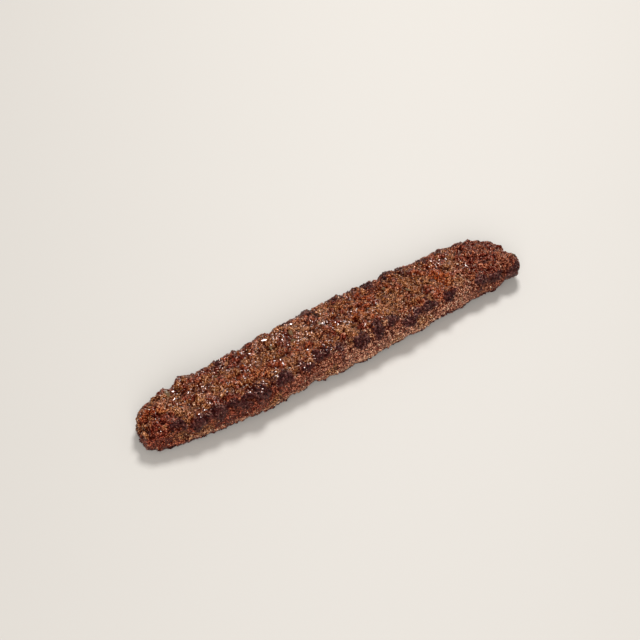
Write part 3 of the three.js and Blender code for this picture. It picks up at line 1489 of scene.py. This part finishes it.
@dataclass(frozen=True)
class Grain:
    """One kind of grain: its meat, size, depth and finish, how many there may be, and how it melts in.

    Depths are shares of a grain's half height, and the tints are drawn from a beta spread.
    """

    meat: Meat
    radius: Range
    sunk: Range
    finish: Finish
    most: int = 9900
    moulds: Moulds = Moulds(detail=1, roughness=0.3, first_seed=50, count=12)
    proportions: Proportions = ((1.1, 2.0), (0.7, 1.0), (0.5, 0.8))
    tilt: float = 0.4
    melted: float = 0.45
    tint_draw: tuple[float, float] = (1.3, 1.5)
    # Painted shade on each grain's lower part, where it meets the meat.
    shaded: float = 0.6
    shaded_below: Range = (-0.1, 0.9)

    def sown(self, grilling: Grilling, places: Places, rng: Chance) -> Piece:
        """Makes all grains of this kind as one piece.

        Args:
            grilling: What the grilling did to the bar.
            places: Their places.
            rng: The source of chance.

        Returns:
            The piece.
        """
        places = places.only(np.arange(len(places.points)) < self.most)
        count = len(places.points)
        sizes = drawn_sizes(self.radius, self.proportions, count, rng)
        marks = grilling.marks(places.points)
        depths = rng.uniform(*self.sunk, count) + self.melted * marks[Mark.BROWNED_AND_SHADE]
        middles = places.sunk(sizes[:, 2] * depths)
        heap = Heap.pressed_on(middles, sizes, self.moulds.shells(), rng, self.tilt)
        piece = heap.shell.object(self.meat.value)
        for mark, values in marks.items():
            mark.store(piece, values[heap.owner])
        Mark.TINT.store(piece, rng.beta(*self.tint_draw, count)[heap.owner])
        # Painted shade on the grain's lower part.
        Mark.HOLLOW_SHADE.store(piece, self.shaded * eased(-heap.rise, *self.shaded_below))
        piece.data.materials.append(self.finish.material())
        return piece


@dataclass
class GrainCoat:
    """Grains of lean, fat and char all over the bar, and finer crumbs between them, each kind one piece; the
    char grains along the foot paint its shadow.
    """

    grilling: Grilling
    gap: float = 0.66 * MM
    crumb_gap: float = 0.46 * MM
    candidates: int = 120000
    resting_height: float = 0.4 * MM
    seed: int = 8
    kinds: tuple[Grain, ...] = (
        Grain(
            Meat.LEAN,
            radius=(0.19 * MM, 0.38 * MM),
            sunk=(0.05, 0.7),
            finish=MinceFinish(name="lean grains"),
            most=24500,
            moulds=CRUMB_MOULDS,
        ),
        Grain(Meat.FAT, radius=(0.24 * MM, 0.46 * MM), sunk=(0.3, 0.8), finish=FatFinish()),
        Grain(Meat.CHAR_AND_SHADE, radius=(0.28 * MM, 0.62 * MM), sunk=(0.1, 0.8), finish=CharFinish()),
    )
    fat_share: float = 0.05
    fatter: tuple[tuple[Mark, float], ...] = ((Mark.TAN, 0.8), (Mark.OLIVE, 0.1), (Mark.WALL, 0.1))
    char_and_shade_above: float = 0.4
    char_and_shade_raggedness: float = 0.16
    crumbs: Grain = Grain(
        Meat.CRUMB,
        radius=(0.14 * MM, 0.3 * MM),
        sunk=(-0.1, 0.5),
        finish=PALE_MINCE,
        most=24500,
        moulds=CRUMB_MOULDS,
    )
    crumb_share: float = 0.6
    more_on_walls: float = 0.3
    fewer_on_browned_and_shade: float = 0.1
    fewer_on_char_and_shade: float = 0.7
    crumbless_char_and_shade: Range = (0.2, 0.6)

    def build(self, skin: Skin) -> list[Piece]:
        """Sows the grains and the crumbs over the bar.

        Args:
            skin: The bar's skin.

        Returns:
            One piece for each kind of grain, and one of crumbs.
        """
        rng = np.random.default_rng(self.seed)
        places = self._sites(skin, self.gap, rng)
        meats = self._sorted(places, rng)
        pieces = [kind.sown(self.grilling, places.only(meats == kind.meat), rng) for kind in self.kinds]
        pieces.append(self.crumbs.sown(self.grilling, self._crumb_sites(skin, rng), rng))
        return pieces

    def _crumb_sites(self, skin: Skin, rng: Chance) -> Places:
        """Places for crumbs: more on the walls, fewer on browned meat and the painted shade of the walls, and
        hardly any on char or the painted shadow along the foot.

        Args:
            skin: The bar's skin.
            rng: The source of chance.

        Returns:
            The places.
        """
        places = self._sites(skin, self.crumb_gap, rng)
        marks = self.grilling.marks(places.points)
        share = self.crumb_share + self.more_on_walls * marks[Mark.WALL]
        share = share - self.fewer_on_browned_and_shade * marks[Mark.BROWNED_AND_SHADE]
        share = share - self.fewer_on_char_and_shade * eased(marks[Mark.CHAR_AND_SHADE], *self.crumbless_char_and_shade)
        return places.only(rng.random(len(share)) < share)

    def _sites(self, skin: Skin, gap: float, rng: Chance) -> Places:
        """Places for grains, no two closer than a gap, and none where the bar rests."""
        places = skin.scatter(self.candidates, rng)
        return places.only(places.points[:, 2] > self.resting_height).spaced(gap)

    def _sorted(self, places: Places, rng: Chance) -> np.ndarray:
        """Chooses what each grain is made of.

        Args:
            places: The grains' places.
            rng: The source of chance.

        Returns:
            One Meat for each place.
        """
        marks = self.grilling.marks(places.points)
        ragged = rng.normal(0, self.char_and_shade_raggedness, len(places.points))
        # Char grains where the char mark is high, the painted shadow along the foot included.
        charred_and_shaded = marks[Mark.CHAR_AND_SHADE] + ragged > self.char_and_shade_above
        fat_share = self.fat_share
        for mark, more in self.fatter:
            fat_share = fat_share + more * marks[mark]
        fatty = rng.random(len(places.points)) < fat_share
        return np.where(charred_and_shaded, Meat.CHAR_AND_SHADE, np.where(fatty, Meat.FAT, Meat.LEAN))


@dataclass(frozen=True)
class Streak:
    """A small long thing on top of the bar: its place, half length and half width, all in millimetres."""

    along: float
    across: float
    half_length: float
    half_width: float

    def spot_on(self, skin: Skin, reach: float) -> Places:
        """The highest spot of the skin near the streak's place, not farther off than a reach in metres."""
        return skin.highest(self.along * MM, self.across * MM, reach)


@dataclass
class JuiceBeads:
    """Beads and runs of meat juice that stand on top of the bar and catch the light."""

    name: str = "juice_beads"
    runs: tuple[Streak, ...] = (
        Streak(-47, 9.5, 2.6, 1.6),
        Streak(-44.8, 8.4, 1.0, 0.7),
        Streak(-49, 10.4, 0.9, 0.7),
        Streak(-39.5, 11.3, 0.9, 0.6),
        Streak(-35.5, 10, 2.2, 0.6),
        Streak(-86.5, 7.8, 1.1, 0.6),
        Streak(-84.3, 6.4, 0.9, 0.7),
        Streak(-89.5, 1.8, 1.7, 0.5),
        Streak(-82, 2, 0.7, 0.4),
        Streak(-75.7, 0.3, 0.8, 0.5),
        Streak(-73.5, 0.3, 0.7, 0.5),
        Streak(-76.2, -0.9, 0.7, 0.5),
        Streak(-74.8, -1.4, 0.6, 0.5),
        Streak(-85, -12.2, 0.8, 0.6),
        Streak(-51.6, 0.4, 1.2, 0.6),
        Streak(-38, -5.5, 0.6, 0.5),
        Streak(-36, -6.7, 0.6, 0.5),
        Streak(-34, -8.9, 0.7, 0.5),
        Streak(-21.5, -12.4, 0.6, 0.5),
        Streak(-17.5, 9.8, 0.6, 0.9),
        Streak(-15.5, 0.3, 0.7, 0.5),
        Streak(-57.5, -6, 0.7, 0.5),
        Streak(3.5, 6.2, 0.8, 0.5),
        Streak(0.6, 0, 0.7, 0.5),
        Streak(7.6, -4.4, 0.9, 0.5),
        Streak(11.6, 2, 0.7, 0.5),
        Streak(22.5, -1.2, 0.7, 0.5),
        Streak(66, 8.5, 1.1, 0.6),
        Streak(68.5, 7.2, 0.8, 0.6),
        Streak(70.2, 5.1, 0.8, 0.7),
        Streak(79.5, 7.4, 0.7, 0.5),
        Streak(82.5, -2.9, 0.7, 0.5),
    )
    run_search: float = 1.5 * MM
    run_reach: float = 4 * MM
    drop_candidates: int = 20000
    drops_face_up: float = 0.6
    drops_by_runs: int = 240
    stray_drops: int = 430
    oily_above: float = 0.4
    drop_radius: Range = (0.2 * MM, 0.6 * MM)
    drop_width: float = 0.7
    moulds: Moulds = Moulds(detail=2, roughness=0.35, first_seed=80, count=4)
    flatness: float = 0.14
    depth: float = 4.0
    raised: float = 0.34 * MM
    level: float = 0.92
    tilt: float = 0.06
    seed: int = 14
    finish: Finish = JuiceFinish()

    def build(self, skin: Skin, grilling: Grilling) -> Piece:
        """Lays the juice on the bar.

        Args:
            skin: The bar's skin.
            grilling: What the grilling did to the bar, for where it is oily.

        Returns:
            The piece.
        """
        rng = np.random.default_rng(self.seed)
        runs = Places.joined([run.spot_on(skin, self.run_search) for run in self.runs])
        drops = self._drops(skin, runs, grilling, rng)
        radius = rng.uniform(*self.drop_radius, len(drops.points))
        drop_sizes = np.stack([radius, self.drop_width * radius, self.flatness * radius], 1)
        run_sizes = [(r.half_length, r.half_width, self.flatness * r.half_width) for r in self.runs]
        sizes = np.concatenate([np.array(run_sizes) * MM, drop_sizes])
        spots = Places.joined([runs, drops])
        upright = unit((1 - self.level) * spots.normals + self.level * np.array([0, 0, 1]))
        places = Places(spots.points, upright).sunk(-self.raised)
        piece = Heap.pressed_on(places, sizes, self._beads(), rng, self.tilt).shell.object(self.name)
        piece.data.materials.append(self.finish.material())
        return piece

    def _drops(self, skin: Skin, runs: Places, grilling: Grilling, rng: Chance) -> Places:
        """Places for small drops: around the runs first, and then wherever else the top is oily.

        Args:
            skin: The bar's skin.
            runs: The middles of the runs.
            grilling: What the grilling did to the bar.
            rng: The source of chance.

        Returns:
            The places.
        """
        drops = skin.scatter(self.drop_candidates, rng)
        drops = drops.only(drops.normals[:, 2] > self.drops_face_up)
        away = [np.linalg.norm(drops.points - run, axis=1) for run in runs.points]
        by_run = np.min(away, axis=0) < self.run_reach
        oily = grilling.marks(drops.points)[Mark.OIL] > self.oily_above
        close = np.flatnonzero(by_run)[: self.drops_by_runs]
        stray = np.flatnonzero(oily & ~by_run)[: self.stray_drops]
        return drops.only(np.concatenate([close, stray]))

    def _beads(self) -> list[Shell]:
        """Makes beads that are drawn out downwards, so that they reach well into the meat.

        Returns:
            Beads of radius 1.
        """
        beads = self.moulds.shells()
        for bead in beads:
            bead.points[:, 2] *= np.where(bead.points[:, 2] < 0, self.depth, 1)
        return beads


@dataclass(frozen=True)
class OnionFinish:
    """Cooked onion: olive-grey, see-through and moist."""

    name: str = "cooked onion"
    dull: Colour = tone(76, 52, 32)
    clear: Colour = tone(126, 100, 70)

    def material(self) -> bpy.types.Material:
        """Mixes dull and clear onion and lets light into it.

        Returns:
            The material.
        """
        bench = Bench(self.name)
        bench.set(
            Base_Color=bench.ramp(bench.noise(0.9 * MM, detail=3), [(0.35, self.dull), (0.65, self.clear)]),
            Roughness=bench.patches(0.7 * MM, shift=1.0, edge=(0.35, 0.65), gives=(0.2, 0.5)),
            Subsurface_Weight=0.25,
            Subsurface_Radius=(1.0, 0.8, 0.5),
            Subsurface_Scale=1.0 * MM,
            Normal=bench.bump(bench.noise(0.6 * MM, shift=8.0), depth=0.12 * MM),
        )
        return bench.material


@dataclass
class OnionSlivers:
    """Slivers of onion that lie across the bar, sunk into the meat."""

    name: str = "onion_slivers"
    slivers: tuple[Streak, ...] = (
        Streak(-21.5, 3, 2.2, 1.1),
        Streak(-20.3, 7, 1.6, 0.9),
        Streak(-89.8, 6, 1.8, 1.1),
        Streak(-33, 4.5, 1.8, 0.8),
        Streak(45, -2.5, 1.3, 0.7),
        Streak(35, 5, 1.2, 0.6),
        Streak(-5, 4, 1.3, 0.8),
        Streak(-67, 3.5, 1.2, 0.8),
        Streak(110.3, -8.5, 1.0, 0.7),
    )
    search: float = 1.2 * MM
    half_thickness: float = 0.45 * MM
    sunk: float = 0.2 * MM
    widthwise: Point = (1.0, 0.25, 0.0)
    astray: float = 0.2
    moulds: Moulds = Moulds(detail=4, roughness=0.2, first_seed=120, count=9)
    seed: int = 17
    finish: Finish = OnionFinish()

    def build(self, skin: Skin) -> Piece:
        """Lays the slivers in the bar's skin.

        Args:
            skin: The bar's skin.

        Returns:
            The piece.
        """
        rng = np.random.default_rng(self.seed)
        places = Places.joined([sliver.spot_on(skin, self.search) for sliver in self.slivers])
        sizes = [(s.half_width * MM, s.half_length * MM, self.half_thickness) for s in self.slivers]
        widthwise = np.array(self.widthwise) + self.astray * rng.normal(size=places.points.shape)
        axes = self._axes(places.normals, widthwise) * np.array(sizes)[..., None]
        shells = []
        for mould, axis, middle in zip(self.moulds.shells(), axes, places.sunk(self.sunk).points):
            shells.append(Shell(mould.points @ axis + middle, mould.faces))
        piece = Shell.joined(shells).object(self.name)
        piece.data.materials.append(self.finish.material())
        return piece

    def _axes(self, upright: np.ndarray, widthwise: np.ndarray) -> np.ndarray:
        """For each sliver, its width, length and thickness directions, from its upright and rough width."""
        length = unit(np.cross(upright, widthwise))
        return np.stack([np.cross(length, upright), length, upright], 1)


@dataclass
class Studio:
    """A pale table under a soft lamp behind the bar, with gentle light from the front."""

    table_half_width: float = 3.0
    table_drop: float = 0.2 * MM
    table_colour: Colour = tone(196, 191, 184)
    table_roughness: float = 0.6
    room_colour: Colour = tone(240, 239, 238)
    room_strength: float = 0.4
    key_size: float = 0.32
    key_power: float = 12.0
    key_place: Point = (0.5, 0.5, 0.97)
    fill_size: float = 0.9
    fill_power: float = 17.0
    fill_place: Point = (-0.65, -0.95, 0.75)

    def build(self) -> None:
        """Lays the table and sets the lamps."""
        self._table()
        self._lamp("key_lamp", self.key_place, self.key_size, self.key_power)
        fill = self._lamp("fill_lamp", self.fill_place, self.fill_size, self.fill_power)
        fill.visible_glossy = False
        self._room()

    def _table(self) -> None:
        """Lays the table's top, a little below the bar."""
        half = self.table_half_width
        outline = ((-half, -half), (half, -half), (half, half), (-half, half))
        corners = np.array([(x, y, -self.table_drop) for x, y in outline])
        table = Shell(corners, np.array([[0, 1, 2], [0, 2, 3]])).object("table")
        bench = Bench("pale table")
        bench.set(Base_Color=self.table_colour, Roughness=self.table_roughness)
        table.data.materials.append(bench.material)

    def _lamp(self, name: str, place: Point, size: float, power: float) -> Piece:
        """Hangs a square soft lamp that faces the bar.

        Args:
            name: The lamp's name.
            place: Where it hangs.
            size: How wide it is.
            power: How strong it is, in watts.

        Returns:
            The lamp.
        """
        light = bpy.data.lights.new(name, "AREA")
        light.size = size
        light.energy = power
        lamp = bpy.data.objects.new(name, light)
        lamp.location = place
        lamp.rotation_euler = (-Vector(place)).to_track_quat("-Z", "Y").to_euler()
        bpy.context.scene.collection.objects.link(lamp)
        return lamp

    def _room(self) -> None:
        """Lights the room evenly."""
        world = bpy.data.worlds.new("room")
        world.use_nodes = True
        background = next(n for n in world.node_tree.nodes if n.type == "BACKGROUND")
        background.inputs["Color"].default_value = self.room_colour
        background.inputs["Strength"].default_value = self.room_strength
        world.cycles_visibility.glossy = False
        bpy.context.scene.world = world
        bpy.context.scene.view_settings.view_transform = "Standard"


@dataclass
class ViewCamera:
    """The camera: what it looks at, from how far, from which side and how steeply."""

    aim: Point = (6.2 * MM, 19.6 * MM, 0.0)
    distance: float = 775.4 * MM
    azimuth: float = math.radians(35.3)
    elevation: float = math.radians(43.7)
    lens: float = 85.95
    sensor: float = 36.0
    nearest: float = 0.01

    def build(self) -> None:
        """Sets the camera up and makes it the scene's own."""
        data = bpy.data.cameras.new("view_camera")
        data.lens = self.lens
        data.sensor_width = self.sensor
        data.sensor_fit = "HORIZONTAL"
        data.clip_start = self.nearest
        camera = bpy.data.objects.new("view_camera", data)
        level = math.cos(self.elevation)
        sideways = math.sin(self.azimuth) * level
        ahead = math.cos(self.azimuth) * level
        forward = Vector((sideways, ahead, -math.sin(self.elevation)))
        camera.location = Vector(self.aim) - forward * self.distance
        camera.rotation_euler = (math.radians(90) - self.elevation, 0, -self.azimuth)
        bpy.context.scene.collection.objects.link(camera)
        bpy.context.scene.camera = camera


def main() -> None:
    """Builds the camera, the bar, what lies on it and the studio, and logs each piece's number of faces."""
    logging.basicConfig(level=logging.INFO, format="%(name)s: %(message)s")
    ViewCamera().build()
    grilling = Grilling()
    bar = MinceBar(grilling)
    pieces = [bar.build()]
    pieces += GrainCoat(grilling).build(bar.skin)
    pieces.append(OnionSlivers().build(bar.skin))
    pieces.append(JuiceBeads().build(bar.skin, grilling))
    for piece in pieces:
        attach(piece, BODY)
        log.info("%s: %d faces", piece.name, len(piece.data.polygons))
    Studio().build()


if __name__ == "__main__":
    main()
